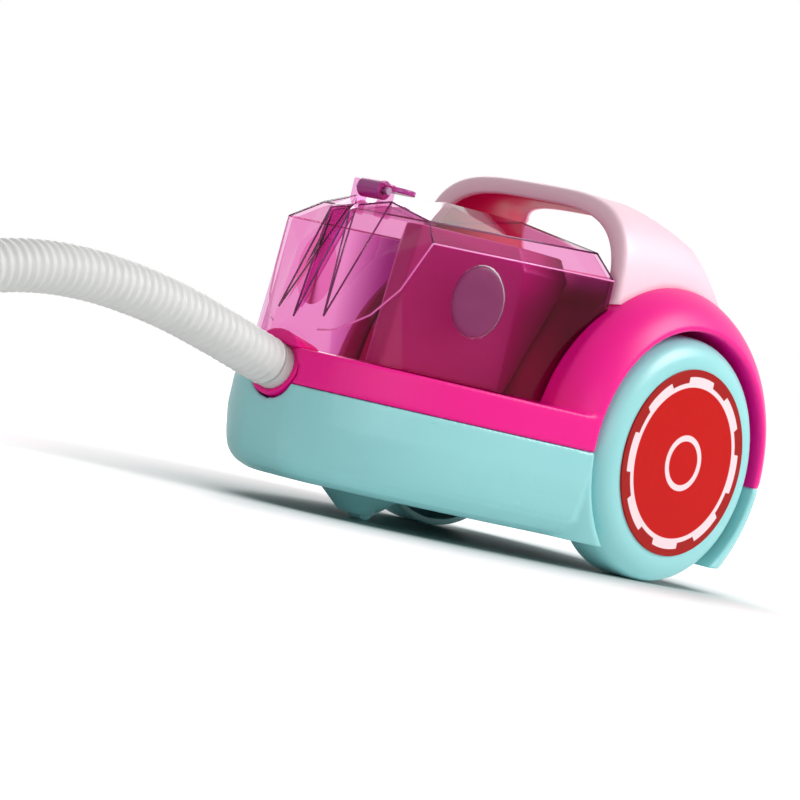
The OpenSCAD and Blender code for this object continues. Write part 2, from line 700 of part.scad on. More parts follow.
module circuit_board() color("#1f7a3a")
    translate([board_x - board_len / 2, -board_w / 2, board_z]) cube([board_len, board_w, board_t]);
module speaker() color("#303030") translate([board_x, 0, floor_gap + wall]) difference() {
    cylinder(r = speaker_r, h = speaker_t);
    translate([0, 0, speaker_t - 2]) cylinder(r1 = 5, r2 = speaker_r - 1.5, h = 2.1);
}
module power_button() color("#f5d3df") on_button_axis(barrel_r + button_proud - button_len) {
    cylinder(r = button_r, h = button_len - 1);
    cylinder(r = button_r - 1, h = button_len);
}
module power_switch() color("#303030")
    on_button_axis(barrel_r + button_proud - button_len - button_travel - 0.5 - switch_len)
        cylinder(r = button_r + clear - fit_clear, h = switch_len);
module case_screws() color("silver") for (p = screw_seats) translate([p[0], p[1], 0]) {
    translate([0, 0, floor_gap + 2]) cylinder(r = screw_head, h = 2.8);
    translate([0, 0, floor_gap + 3]) cylinder(r = screw_r, h = seam_h - floor_gap + 6);
}

lower_shell();
upper_shell();
bin_cover();
bin_latch();
latch_pin();
handle();
handle_lining();
handle_screws();
left_wheel();
right_wheel();
left_disc();
right_disc();
wheel_axle();
axle_caps();
wheel_spacers();
caster_turret();
caster_roller();
roller_pin();
caster_clip();
hose_socket();
hose_plug();
hose();
hose_connector();
filter_cover();
filter_screen();
fan();
motor_shaft();
motor();
motor_clamp();
battery_tray();
batteries();
battery_contacts();
battery_door();
door_screw();
circuit_board();
speaker();
power_button();
power_switch();
case_screws();
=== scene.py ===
import math

import bmesh
import bpy
import numpy as np
from mathutils import Matrix, Vector


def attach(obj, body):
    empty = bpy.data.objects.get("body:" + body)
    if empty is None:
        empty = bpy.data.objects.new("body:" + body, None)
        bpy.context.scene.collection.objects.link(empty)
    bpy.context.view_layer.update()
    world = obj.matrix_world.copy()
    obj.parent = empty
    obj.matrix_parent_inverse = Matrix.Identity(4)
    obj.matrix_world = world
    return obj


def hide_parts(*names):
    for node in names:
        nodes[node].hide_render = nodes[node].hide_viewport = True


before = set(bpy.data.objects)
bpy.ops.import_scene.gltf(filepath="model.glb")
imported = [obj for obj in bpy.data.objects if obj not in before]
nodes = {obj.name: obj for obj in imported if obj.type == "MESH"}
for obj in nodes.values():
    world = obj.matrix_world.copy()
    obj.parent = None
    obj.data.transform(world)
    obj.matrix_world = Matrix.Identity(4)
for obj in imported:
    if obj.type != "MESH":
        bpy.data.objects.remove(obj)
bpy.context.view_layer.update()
mm = 0.001
axle = (50.5, 52.0)  # X and Z of the wheel axle, mm
print("frame loaded with", len(nodes), "nodes")

scene = bpy.context.scene
scene.view_settings.view_transform = "Standard"


def hexToLinear(code):
    parts = [int(code[i:i + 2], 16) / 255 for i in (1, 3, 5)]
    return tuple(c / 12.92 if c <= 0.04045 else ((c + 0.055) / 1.055) ** 2.4 for c in parts) + (1.0,)


def addNode(tree, kind, settings=None, values=None, links=None):
    node = tree.nodes.new(kind)
    for key, value in (settings or {}).items():
        setattr(node, key, value)
    for key, value in (values or {}).items():
        node.inputs[key].default_value = value
    for key, (source, socket) in (links or {}).items():
        tree.links.new(source.outputs[socket], node.inputs[key])
    return node


def newMaterial(name):
    material = bpy.data.materials.new(name)
    material.use_nodes = True
    material.node_tree.nodes.clear()
    return material, material.node_tree


mixA, mixB, mixOut = 6, 7, 2  # colour sockets of the Mix node


def perMetre(sizeMm):
    return 1000 / sizeMm  # object coordinates are in metres


def meshPiece(name, verts, faces, material, smooth=True):
    mesh = bpy.data.meshes.new(name)
    mesh.from_pydata([tuple(float(c) * mm for c in v) for v in verts], [], [list(map(int, f)) for f in faces])
    mesh.validate()
    mesh.update()
    mesh.polygons.foreach_set("use_smooth", [smooth] * len(mesh.polygons))
    piece = bpy.data.objects.new(name, mesh)
    scene.collection.objects.link(piece)
    mesh.materials.append(material)
    return piece


def wear(piece, body, *stoodFor, slot):
    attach(piece, body)
    if stoodFor:
        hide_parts(*stoodFor)


# camera fitted to the wheel disc and the body's straight edges
viewFit = {
    "eye": (-1107.2, -969.9, 58.1),
    "target": (7.4, 47.2, 50.7),
    "roll": 13.10,  # the photograph is turned clockwise
    "lens": 157.5,
    "sensor": 36,
    "farEnd": 50,  # metres
}
eye = Vector(viewFit["eye"]) * mm
ahead = (Vector(viewFit["target"]) * mm - eye).normalized()
level = ahead.cross(Vector((0, 0, 1))).normalized()
upright = level.cross(ahead)
turn = math.radians(viewFit["roll"])
cameraRight = level * math.cos(turn) + upright * math.sin(turn)
cameraUp = upright * math.cos(turn) - level * math.sin(turn)
cameraData = bpy.data.cameras.new("camera")
cameraData.lens = viewFit["lens"]
cameraData.sensor_width = viewFit["sensor"]
cameraData.clip_end = viewFit["farEnd"]
camera = bpy.data.objects.new("camera", cameraData)
scene.collection.objects.link(camera)
camera.matrix_world = Matrix((
    (cameraRight.x, cameraUp.x, -ahead.x, eye.x),
    (cameraRight.y, cameraUp.y, -ahead.y, eye.y),
    (cameraRight.z, cameraUp.z, -ahead.z, eye.z),
    (0, 0, 0, 1),
))
scene.camera = camera
print("camera set")


# ABS, injection moulded: even colour, soft broad highlights, a faint orange peel
def mouldedPlastic(name, **own):
    finish = {**plasticFinish, **own}
    material, tree = newMaterial(name)
    place = addNode(tree, "ShaderNodeTexCoord")
    mottle = addNode(tree, "ShaderNodeTexNoise",
                     values={"Scale": perMetre(finish["mottleMm"]), "Detail": 3.0},
                     links={"Vector": (place, "Object")})
    tint = addNode(tree, "ShaderNodeMix", {"data_type": "RGBA"},
                   {mixA: hexToLinear(finish["deep"]), mixB: hexToLinear(finish["lit"])},
                   {0: (mottle, "Fac")})
    smudge = addNode(tree, "ShaderNodeTexNoise",
                     values={"Scale": perMetre(finish["smudgeMm"]), "Detail": 4.0},
                     links={"Vector": (place, "Object")})
    sheen = addNode(tree, "ShaderNodeMapRange",
                    values={"To Min": finish["roughness"][0], "To Max": finish["roughness"][1]},
                    links={"Value": (smudge, "Fac")})
    peel = addNode(tree, "ShaderNodeTexNoise", values={"Scale": perMetre(finish["peelMm"]), "Detail": 2.0},
                   links={"Vector": (place, "Object")})
    bump = addNode(tree, "ShaderNodeBump",
                   values={"Strength": finish["peelStrength"], "Distance": finish["peelDepthMm"] * mm},
                   links={"Height": (peel, "Fac")})
    shader = addNode(tree, "ShaderNodeBsdfPrincipled", values={"IOR": finish["ior"]},
                     links={"Base Color": (tint, mixOut), "Roughness": (sheen, "Result"),
                            "Normal": (bump, "Normal")})
    addNode(tree, "ShaderNodeOutputMaterial", links={"Surface": (shader, "BSDF")})
    return material


# the real peel is finer; it is drawn coarse enough to show
plasticFinish = {
    "mottleMm": 45, "smudgeMm": 18, "roughness": (0.26, 0.36), "peelMm": 2.2, "peelStrength": 0.10,
    "peelDepthMm": 0.1, "ior": 1.53,
}
mintAbs = mouldedPlastic("absMint", lit="#9ADADB", deep="#8CCFD2")
# ABS again, with a lower IOR to match the weak glare on the band
pinkAbs = mouldedPlastic("absHotPink", lit="#F5088F", deep="#EC0486", roughness=(0.32, 0.40), ior=1.38)
# the hot pink cover inside the bin, darkened to deep magenta as painted shade for the dim inside
coverPinkPaintedShade = mouldedPlastic("absHotPinkPaintedShade", lit="#CA068E", deep="#B6027C", roughness=(0.3, 0.4))
# finely textured moulds: satin outside the arch, duller inside it
palePinkAbs = mouldedPlastic("absPalePink", lit="#F5D2DE", deep="#F0C8D6", roughness=(0.32, 0.42))
crimsonAbs = mouldedPlastic("absCrimson", lit="#CE0C50", deep="#BE0846", roughness=(0.36, 0.46))
# acetal, moulded: waxy white
whiteAcetal = mouldedPlastic("acetalWhite", lit="#EDEDEA", deep="#E2E2DE", roughness=(0.38, 0.48), ior=1.48)
# polystyrene, moulded: dull black
blackStyrene = mouldedPlastic("polystyreneBlack", lit="#2B2B2D", deep="#202022", roughness=(0.40, 0.55))
# glass epoxy, laminated: green with small clouds
boardResin = mouldedPlastic("glassEpoxyGreen", lit="#1F7A40", deep="#175E31", mottleMm=6,
                            roughness=(0.30, 0.42))
# shrink film, drawn tight: even ochre with a sheen
cellJacket = mouldedPlastic("shrinkFilmOchre", lit="#C79A28", deep="#B3861B", mottleMm=12,
                            roughness=(0.25, 0.35))
# polyether foam, cut: matt and full of pores
foamMesh = mouldedPlastic("polyetherFoam", lit="#C89AC0", deep="#8F5F88", mottleMm=1.2,
                          roughness=(0.85, 0.95), peelMm=0.9, peelStrength=0.8)


# steel wire and sheet, zinc plated: grey, drawn lines along the length
def drawnSteel(name, **own):
    finish = {**zincFinish, **own}
    material, tree = newMaterial(name)
    place = addNode(tree, "ShaderNodeTexCoord")
    grain = addNode(tree, "ShaderNodeMapping", values={"Scale": (1.0, finish["stretch"], 1.0)},
                    links={"Vector": (place, "Object")})
    drawLines = addNode(tree, "ShaderNodeTexNoise",
                        values={"Scale": perMetre(finish["lineMm"]), "Detail": 5.0},
                        links={"Vector": (grain, "Vector")})
    tint = addNode(tree, "ShaderNodeMix", {"data_type": "RGBA"},
                   {mixA: hexToLinear(finish["deep"]), mixB: hexToLinear(finish["lit"])},
                   {0: (drawLines, "Fac")})
    sheen = addNode(tree, "ShaderNodeMapRange",
                    values={"To Min": finish["roughness"][0], "To Max": finish["roughness"][1]},
                    links={"Value": (drawLines, "Fac")})
    shader = addNode(tree, "ShaderNodeBsdfPrincipled", values={"Metallic": 1.0},
                     links={"Base Color": (tint, mixOut), "Roughness": (sheen, "Result")})
    addNode(tree, "ShaderNodeOutputMaterial", links={"Surface": (shader, "BSDF")})
    return material


# the real lines are finer; they are drawn coarse enough to show
zincFinish = {"lit": "#C9CBCE", "deep": "#A9ACB0", "lineMm": 0.8, "stretch": 0.15, "roughness": (0.24, 0.42)}
zincSteel = drawnSteel("steelZincPlated")
# sheet steel, deep drawn: darker grey, broader lines
motorSteel = drawnSteel("steelMotorCan", lit="#B4B6B8", deep="#8E9194", lineMm=1.5, stretch=0.3)


# clear polystyrene, dyed magenta: pale against white, deeper where it is seen at a slant, with a painted
# shade that can deepen it towards the rear
def clearStyrene(name, **own):
    finish = {**clearFinish, **own}
    material, tree = newMaterial(name)
    place = addNode(tree, "ShaderNodeTexCoord")
    flow = addNode(tree, "ShaderNodeTexNoise", values={"Scale": perMetre(finish["flowMm"]), "Detail": 2.0},
                   links={"Vector": (place, "Object")})
    haze = addNode(tree, "ShaderNodeMapRange",
                   values={"To Min": finish["roughness"][0], "To Max": finish["roughness"][1]},
                   links={"Value": (flow, "Fac")})
    bump = addNode(tree, "ShaderNodeBump",
                   values={"Strength": finish["waveStrength"], "Distance": finish["waveDepthMm"] * mm},
                   links={"Height": (flow, "Fac")})
    mirror = addNode(tree, "ShaderNodeFresnel", values={"IOR": finish["ior"]},
                     links={"Normal": (bump, "Normal")})
    sideSeen = addNode(tree, "ShaderNodeNewGeometry")
    outsideOnly = addNode(tree, "ShaderNodeMath", {"operation": "SUBTRACT", "use_clamp": True},
                          links={0: (mirror, "Fac"), 1: (sideSeen, "Backfacing")})
    along = addNode(tree, "ShaderNodeSeparateXYZ", links={"Vector": (place, "Object")})
    # painted shade: the dye deepens towards the rear
    rearward = addNode(tree, "ShaderNodeMapRange",
                       values={"From Min": finish["rearMm"][0] * mm, "From Max": finish["rearMm"][1] * mm},
                       links={"Value": (along, "X")})
    rearShadeTint = addNode(tree, "ShaderNodeMix", {"data_type": "RGBA"},
                    {mixA: hexToLinear(finish["film"]), mixB: hexToLinear(finish["rearFilm"])},
                    {0: (rearward, "Result")})
    slant = addNode(tree, "ShaderNodeMapRange",
                    values={"From Min": finish["slant"][0], "From Max": finish["slant"][1]},
                    links={"Value": (outsideOnly, "Value")})
    dye = addNode(tree, "ShaderNodeMix", {"data_type": "RGBA"},
                  {mixB: hexToLinear(finish["slantFilm"])},
                  {0: (slant, "Result"), mixA: (rearShadeTint, mixOut)})
    through = addNode(tree, "ShaderNodeBsdfTransparent", links={"Color": (dye, mixOut)})
    scatter = addNode(tree, "ShaderNodeBsdfDiffuse", values={"Color": hexToLinear(finish["frostTint"])})
    frosted = addNode(tree, "ShaderNodeMixShader", values={0: finish["frost"]},
                      links={1: (through, "BSDF"), 2: (scatter, "BSDF")})
    gloss = addNode(tree, "ShaderNodeBsdfGlossy", values={"Color": hexToLinear(finish["shine"])},
                    links={"Roughness": (haze, "Result"), "Normal": (bump, "Normal")})
    both = addNode(tree, "ShaderNodeMixShader",
                   links={0: (outsideOnly, "Value"), 1: (frosted, "Shader"), 2: (gloss, "BSDF")})
    addNode(tree, "ShaderNodeOutputMaterial", links={"Surface": (both, "Shader")})
    return material


# polystyrene's own IOR is 1.59; a lower one matches the weak glare on the cover
clearFinish = {
    "film": "#FCE2F2", "rearFilm": "#FCE2F2", "rearMm": (-45, -12), "slantFilm": "#E79BD0",
    "slant": (0.08, 0.6), "shine": "#FFFFFF", "ior": 1.27, "flowMm": 30, "roughness": (0.03, 0.07),
    "waveStrength": 0.04, "waveDepthMm": 0.4, "frost": 0.0, "frostTint": "#C9A6C6",
}
clearMagenta = clearStyrene("polystyreneClearMagenta")
# the same sheet with stronger dye, which on the side wall is painted shade from the dim inside of the bin,
# deepening further towards the rear
deepMagentaPaintedShade = clearStyrene("polystyreneDeepMagentaPaintedShade", film="#F8D2EC", rearFilm="#BE62AC", slantFilm="#D070BC",
                           ior=1.2)
foldMagenta = clearStyrene("polystyreneFoldMagenta", film="#E280CE", slantFilm="#C860B0")
# frosted in the mould: milky, with a blurred highlight
frostMagenta = clearStyrene("polystyreneFrosted", film="#E8C2E0", frost=0.2, frostTint="#A8649E",
                            roughness=(0.25, 0.5), flowMm=4, waveStrength=0.6)
# the same styrene seen along its thickness: dark in a fold; the bright strip on the curved crease is a
# painted highlight where the fold catches the light
foldLine = mouldedPlastic("polystyreneFoldLine", lit="#7C1A62", deep="#5E0A48", roughness=(0.12, 0.2))
foldHighlightPaint = mouldedPlastic("polystyreneFoldHighlightPainted", lit="#FBA6DC", deep="#F48FD0", roughness=(0.1, 0.16))
thickMagenta = mouldedPlastic("polystyreneThickMagenta", lit="#B62C94", deep="#982078",
                              roughness=(0.1, 0.18))


# polyethylene, blow moulded into ribs: milky, light glows through the wall
def milkyPolyethylene(name, finish):
    material, tree = newMaterial(name)
    place = addNode(tree, "ShaderNodeTexCoord")
    cloud = addNode(tree, "ShaderNodeTexNoise", values={"Scale": perMetre(finish["cloudMm"]), "Detail": 4.0},
                    links={"Vector": (place, "Object")})
    tint = addNode(tree, "ShaderNodeMix", {"data_type": "RGBA"},
                   {mixA: hexToLinear(finish["deep"]), mixB: hexToLinear(finish["lit"])},
                   {0: (cloud, "Fac")})
    sheen = addNode(tree, "ShaderNodeMapRange",
                    values={"To Min": finish["roughness"][0], "To Max": finish["roughness"][1]},
                    links={"Value": (cloud, "Fac")})
    wall = addNode(tree, "ShaderNodeBsdfPrincipled",
                   values={"IOR": finish["ior"], "Transmission Weight": finish["clearness"]},
                   links={"Base Color": (tint, mixOut), "Roughness": (sheen, "Result")})
    glow = addNode(tree, "ShaderNodeBsdfTranslucent", links={"Color": (tint, mixOut)})
    both = addNode(tree, "ShaderNodeMixShader", values={0: finish["glow"]},
                   links={1: (wall, "BSDF"), 2: (glow, "BSDF")})
    addNode(tree, "ShaderNodeOutputMaterial", links={"Surface": (both, "Shader")})
    return material


hoseFinish = {
    "lit": "#FAFAF8", "deep": "#F0F1F0", "cloudMm": 9, "roughness": (0.28, 0.4), "ior": 1.51,
    "clearness": 0.25, "glow": 0.2,
}
milkyHose = milkyPolyethylene("polyethyleneMilky", hoseFinish)


# vinyl sticker, screen printed: flat red, pale rings with crisp edges, satin film on top
def printedVinyl(name, design):
    material, tree = newMaterial(name)
    place = addNode(tree, "ShaderNodeTexCoord")
    fromAxle = addNode(tree, "ShaderNodeVectorMath", {"operation": "MULTIPLY_ADD"},
                       {1: (1 / mm, 0.0, 1 / mm), 2: (-design["axle"][0], 0.0, -design["axle"][1])},
                       {0: (place, "Object")})
    reach = addNode(tree, "ShaderNodeVectorMath", {"operation": "LENGTH"},
                    links={0: (fromAxle, "Vector")})
    parts = addNode(tree, "ShaderNodeSeparateXYZ", links={"Vector": (fromAxle, "Vector")})
    turnAngle = addNode(tree, "ShaderNodeMath", {"operation": "ARCTAN2"},
                        links={0: (parts, "X"), 1: (parts, "Z")})
    eightfold = addNode(tree, "ShaderNodeMath", {"operation": "MULTIPLY"}, {1: float(design["teeth"])},
                        {0: (turnAngle, "Value")})
    wave = addNode(tree, "ShaderNodeMath", {"operation": "COSINE"}, links={0: (eightfold, "Value")})
    tooth = addNode(tree, "ShaderNodeMapRange",
                    values={"From Min": design["toothEdge"] - design["toothSoft"],
                            "From Max": design["toothEdge"] + design["toothSoft"],
                            "To Min": design["cogThin"], "To Max": design["cogThick"]},
                    links={"Value": (wave, "Value")})
    edge = design["edgeMm"]
    outsideCog = addNode(tree, "ShaderNodeMath", {"operation": "SUBTRACT"},
                         links={0: (reach, "Value"), 1: (tooth, "Result")})
    band = addNode(tree, "ShaderNodeMapRange", values={"From Min": -edge, "From Max": edge},
                   links={"Value": (outsideCog, "Value")})
    insideCog = addNode(tree, "ShaderNodeMapRange",
                        values={"From Min": design["cogInner"] - edge, "From Max": design["cogInner"] + edge},
                        links={"Value": (reach, "Value")})
    fromRing = addNode(tree, "ShaderNodeMath", {"operation": "SUBTRACT"}, {1: design["ringMid"]},
                       {0: (reach, "Value")})
    ringSpan = addNode(tree, "ShaderNodeMath", {"operation": "ABSOLUTE"},
                       links={0: (fromRing, "Value")})
    ring = addNode(tree, "ShaderNodeMapRange",
                   values={"From Min": design["ringHalf"] - edge, "From Max": design["ringHalf"] + edge,
                           "To Min": 1.0, "To Max": 0.0}, links={"Value": (ringSpan, "Value")})
    speck = addNode(tree, "ShaderNodeTexNoise", values={"Scale": perMetre(design["speckMm"]), "Detail": 3.0},
                    links={"Vector": (place, "Object")})
    red = addNode(tree, "ShaderNodeMix", {"data_type": "RGBA"},
                  {mixA: hexToLinear(design["redDeep"]), mixB: hexToLinear(design["red"])},
                  {0: (speck, "Fac")})
    withRing = addNode(tree, "ShaderNodeMix", {"data_type": "RGBA"}, {mixB: hexToLinear(design["pale"])},
                       {0: (ring, "Result"), mixA: (red, mixOut)})
    withCog = addNode(tree, "ShaderNodeMix", {"data_type": "RGBA"}, {mixB: hexToLinear(design["pale"])},
                      {0: (insideCog, "Result"), mixA: (withRing, mixOut)})
    withBand = addNode(tree, "ShaderNodeMix", {"data_type": "RGBA"}, {mixB: hexToLinear(design["band"])},
                       {0: (band, "Result"), mixA: (withCog, mixOut)})
    sheen = addNode(tree, "ShaderNodeMapRange",
                    values={"To Min": design["roughness"][0], "To Max": design["roughness"][1]},
                    links={"Value": (speck, "Fac")})
    bump = addNode(tree, "ShaderNodeBump",
                   values={"Strength": design["inkStrength"], "Distance": design["inkDepthMm"] * mm},
                   links={"Height": (speck, "Fac")})
    shader = addNode(tree, "ShaderNodeBsdfPrincipled", values={"IOR": design["ior"]},
                     links={"Base Color": (withBand, mixOut), "Roughness": (sheen, "Result"),
                            "Normal": (bump, "Normal")})
    addNode(tree, "ShaderNodeOutputMaterial", links={"Surface": (shader, "BSDF")})
    return material


# vinyl's own IOR is about 1.54; a lower one matches the print, which hardly reflects
discPrint = {
    "axle": axle, "teeth": 8, "toothEdge": -0.309, "toothSoft": 0.06, "cogInner": 32.0, "cogThin": 34.0,
    "cogThick": 36.4, "ringMid": 10.55, "ringHalf": 1.25, "edgeMm": 0.12, "speckMm": 2.5, "red": "#C40C05",
    "redDeep": "#BA0805", "pale": "#EFD6DB", "band": "#A01814", "roughness": (0.34, 0.46),
    "inkStrength": 0.06, "inkDepthMm": 0.1, "ior": 1.22,
}
printedDisc = printedVinyl("vinylPrintedRed", discPrint)
print("materials made")


# joins rings of the same count into a skin of quads
def ringFaces(ringCount, sides, closed=False, first=0, flip=False):
    faces = []
    for i in range(ringCount if closed else ringCount - 1):
        a = first + i * sides
        b = first + ((i + 1) % ringCount) * sides
        for k in range(sides):
            n = (k + 1) % sides
            quad = (a + k, a + n, b + n, b + k)
            faces.append(quad[::-1] if flip else quad)
    return faces


# turns a closed profile of (radius, along) round an axis
def lathe(profile, sides, place):
    verts = []
    for radius, along in profile:
        for k in range(sides):
            angle = 2 * math.pi * k / sides
            verts.append(place(radius * math.cos(angle), radius * math.sin(angle), along))
    return verts, ringFaces(len(profile), sides, closed=True)


# rounds the corners of a closed profile with short arcs
def roundCorners(profile, radii, steps=4, sideShare=0.45):
    rounded = []
    count = len(profile)
    for i, radius in enumerate(radii):
        here = Vector(profile[i])
        back = Vector(profile[i - 1]) - here
        on = Vector(profile[(i + 1) % count]) - here
        cut = min(radius, sideShare * back.length, sideShare * on.length)
        if cut <= 0:
            rounded.append(tuple(here))
            continue
        start = here + back.normalized() * cut
        end = here + on.normalized() * cut
        for k in range(steps + 1):
            t = k / steps
            rounded.append(tuple((1 - t) ** 2 * start + 2 * t * (1 - t) * here + t * t * end))
    return rounded


# cubic from a to b that leaves and arrives with the given slopes
def hermite(t, a, b, slopeA, slopeB):
    return ((2 * t ** 3 - 3 * t * t + 1) * a + (t ** 3 - 2 * t * t + t) * slopeA
            + (3 * t * t - 2 * t ** 3) * b + (t ** 3 - t * t) * slopeB)


def faceOutward(piece):
    skin = bmesh.new()
    skin.from_mesh(piece.data)
    bmesh.ops.recalc_face_normals(skin, faces=skin.faces)
    skin.to_mesh(piece.data)
    skin.free()


def bakeModifiers(piece):
    bpy.context.view_layer.update()
    graph = bpy.context.evaluated_depsgraph_get()
    baked = bpy.data.meshes.new_from_object(piece.evaluated_get(graph))
    old = piece.data
    piece.modifiers.clear()
    piece.data = baked
    bpy.data.meshes.remove(old)


# a CAD piece with the soft edges of a moulding: fine voxels, smoothed, then thinned
def mouldedCopy(node, name, body, slot, material, voxelMm, rounds, keep, fair=None):
    mesh = nodes[node].data.copy()
    mesh.name = name
    piece = bpy.data.objects.new(name, mesh)
    scene.collection.objects.link(piece)
    mesh.materials.clear()
    weld = piece.modifiers.new("weld", "WELD")
    weld.merge_threshold = 0.01 * mm
    remesh = piece.modifiers.new("voxels", "REMESH")
    remesh.mode = "VOXEL"
    remesh.voxel_size = voxelMm * mm
    smooth = piece.modifiers.new("soften", "SMOOTH")
    smooth.factor = 0.5
    smooth.iterations = rounds
    thin = piece.modifiers.new("thin", "DECIMATE")
    thin.ratio = keep
    bakeModifiers(piece)
    if fair:
        spots = np.empty(len(piece.data.vertices) * 3)
        piece.data.vertices.foreach_get("co", spots)
        spots = fair(spots.reshape(-1, 3) / mm) * mm
        piece.data.vertices.foreach_set("co", spots.ravel())
        piece.data.update()
    piece.data.materials.clear()
    piece.data.materials.append(material)
    piece.data.polygons.foreach_set("use_smooth", [True] * len(piece.data.polygons))
    wear(piece, body, node, slot=slot)


def dressNode(node, material):
    for holder in nodes[node].material_slots:
        holder.material = material


def softenNode(node, widthMm):
    bevel = nodes[node].modifiers.new("softEdge", "BEVEL")
    bevel.width = widthMm * mm
    bevel.segments = 2
    bevel.limit_method = "ANGLE"
    bevel.angle_limit = math.radians(40)


# ribbed hose: repeats the route of the solid
hoseSet = {
    "mouth": (-121.5, 0.0, 53.5), "tilt": 13.0, "plugOut": 3.0, "lead": 20.0,
    "crest": 10.0, "root": 8.75, "bore": 7.6, "ribsPerRun": 5, "ringsPerRib": 6, "sides": 28,
    "ribFullness": 0.75,  # full ribs, narrow grooves
    "aimStep": 0.01,
    "length": 0.41, "diameter": 0.020,  # metres
    "route": [(-164, 0, 63.2), (-184, 0, 67), (-204, 0, 69.5), (-224, 0, 70.8), (-244, 0, 70.4),
              (-263, 0, 68.1), (-282, 1, 63.6), (-301, 3, 56.6), (-319, 7, 47.6), (-336, 13, 37.4),
              (-353, 21, 27.2), (-370, 31, 18.8), (-387, 44, 13.2), (-402, 59, 10.9), (-412.5, 77, 10.4),
              (-419, 97, 10.4), (-422, 118, 10.4), (-423, 138, 10.4), (-423, 157, 10.4)],
}
tilt = math.radians(hoseSet["tilt"])
hoseAim = np.array((-math.cos(tilt), 0.0, math.sin(tilt)))
hoseStart = np.array(hoseSet["mouth"]) + hoseSet["plugOut"] * hoseAim
route = np.array([hoseStart, hoseStart + hoseSet["lead"] * hoseAim, *hoseSet["route"]])
tangents = np.vstack([route[1] - route[0], (route[2:] - route[:-2]) / 2, route[-1] - route[-2]])


def hoseSpot(u):
    i = min(int(u), len(route) - 2)
    t = u - i
    return hermite(t, route[i], route[i + 1], tangents[i], tangents[i + 1])


def hoseRing(u, radius, sides):
    top = len(route) - 1
    aim = hoseSpot(min(u + hoseSet["aimStep"], top)) - hoseSpot(max(u - hoseSet["aimStep"], 0))
    aim /= np.linalg.norm(aim)
    side = np.cross(aim, (0, 0, 1))
    side /= np.linalg.norm(side)
    rise = np.cross(side, aim)
    spot = hoseSpot(u)
    return [spot + radius * (math.cos(a) * side + math.sin(a) * rise)
            for a in (2 * math.pi * k / sides for k in range(sides))]


runs = len(route) - 1
ringCount = runs * hoseSet["ribsPerRun"] * hoseSet["ringsPerRib"] + 1
hoseVerts = []
hosePath = []
for k in range(ringCount):
    u = runs * k / (ringCount - 1)
    swing = 0.5 - 0.5 * math.cos(2 * math.pi * k / hoseSet["ringsPerRib"])
    radius = hoseSet["root"] + (hoseSet["crest"] - hoseSet["root"]) * swing ** hoseSet["ribFullness"]
    hoseVerts += hoseRing(u, radius, hoseSet["sides"])
    hosePath.append(hoseSpot(u))
boreRings = runs * hoseSet["ribsPerRun"] + 1
for k in range(boreRings):
    hoseVerts += hoseRing(runs * (1 - k / (boreRings - 1)), hoseSet["bore"], hoseSet["sides"])
hoseFaces = ringFaces(ringCount + boreRings, hoseSet["sides"], closed=True, flip=True)
hose = meshPiece("ribbedHose", hoseVerts, hoseFaces, milkyHose)
wear(hose, "body", "hose", slot="hose_plastic")
hoseLength = sum(float(np.linalg.norm(b - a)) for a, b in zip(hosePath, hosePath[1:])) * mm
print("hose length", round(hoseLength, 4))

# end connector: turned profile with two grip grooves, laid along +Y
connectorSet = {
    "radius": 10.2, "hoseBore": 7.6, "hoseSeat": 4, "neck": 6.6, "bore": 8.0, "boreEnd": 18, "length": 46,
    "grooves": [(6, 7, 9, 10), (13, 14, 16, 17)], "grooveDeep": 0.8, "sides": 64,
    "soft": [0.3, 0.8, 0.5, 0.4, 0.4, 0.5, 0.5, 0.4, 0.4, 0.5, 1.2, 0.6, 0.3, 0.3, 0.2, 0.2],
}
rim, bore, neck, hoseBore = (connectorSet[k] for k in ("radius", "bore", "neck", "hoseBore"))
length, boreEnd, hoseSeat = (connectorSet[k] for k in ("length", "boreEnd", "hoseSeat"))
grooveFloor = rim - connectorSet["grooveDeep"]
connectorProfile = [(hoseBore, 0), (rim, 0)]
for edge, floorStart, floorEnd, farEdge in connectorSet["grooves"]:
    connectorProfile += [(rim, edge), (grooveFloor, floorStart), (grooveFloor, floorEnd), (rim, farEdge)]
connectorProfile += [(rim, length), (bore, length), (bore, boreEnd), (neck, boreEnd), (neck, hoseSeat),
                     (hoseBore, hoseSeat)]
verts, faces = lathe(roundCorners(connectorProfile, connectorSet["soft"]), connectorSet["sides"],
                     lambda a, b, y: (route[-1][0] + a, route[-1][1] + y, route[-1][2] + b))
hoseConnector = meshPiece("hoseConnector", verts, faces, pinkAbs)
wear(hoseConnector, "body", "hose_connector", slot="hot_pink_plastic")
dressNode("hose_plug", milkyHose)
print("hose laid")

# wheels: hollow drums with a rounded shoulder round the printed disc
wheelSet = {
    "face": 76.2, "width": 24.2, "radius": 52.0, "bore": 3.05, "hub": 9, "faceThick": 3, "tread": 3,
    "recess": 7.5, "recessDeep": 6.2, "inside": [(5, 5), (3, 8)], "innerLip": (0.4, 1.2),
    "shoulder": [(0, 9.5), (0.7, 6.2), (2.2, 3.6), (4.4, 1.7), (7.2, 0.5), (10, 0)], "sides": 128,
    "soft": [0, 0.5, 0.5, 0.8, 0.8, 0.4, 0.3, 0.8, 2.0, 1.5, 1.5, 1.5, 1.5, 1.5, 0.4, 0.3, 0.2],
}
discSet = {"radius": 39.5, "thick": 0.8, "core": 0.01, "soft": [0, 0.15, 0.35, 0], "sides": 160}
drumWide, drumRim = wheelSet["width"], wheelSet["radius"]
lipIn, lipUp = wheelSet["innerLip"]
wheelProfile = [(wheelSet["bore"], 0), (wheelSet["hub"], 0),
                (wheelSet["hub"], drumWide - wheelSet["faceThick"])]
wheelProfile += [(drumRim - inset, drumWide - drop) for inset, drop in wheelSet["inside"]]
wheelProfile += [(drumRim - wheelSet["tread"], 0), (drumRim - lipIn, 0), (drumRim, lipUp)]
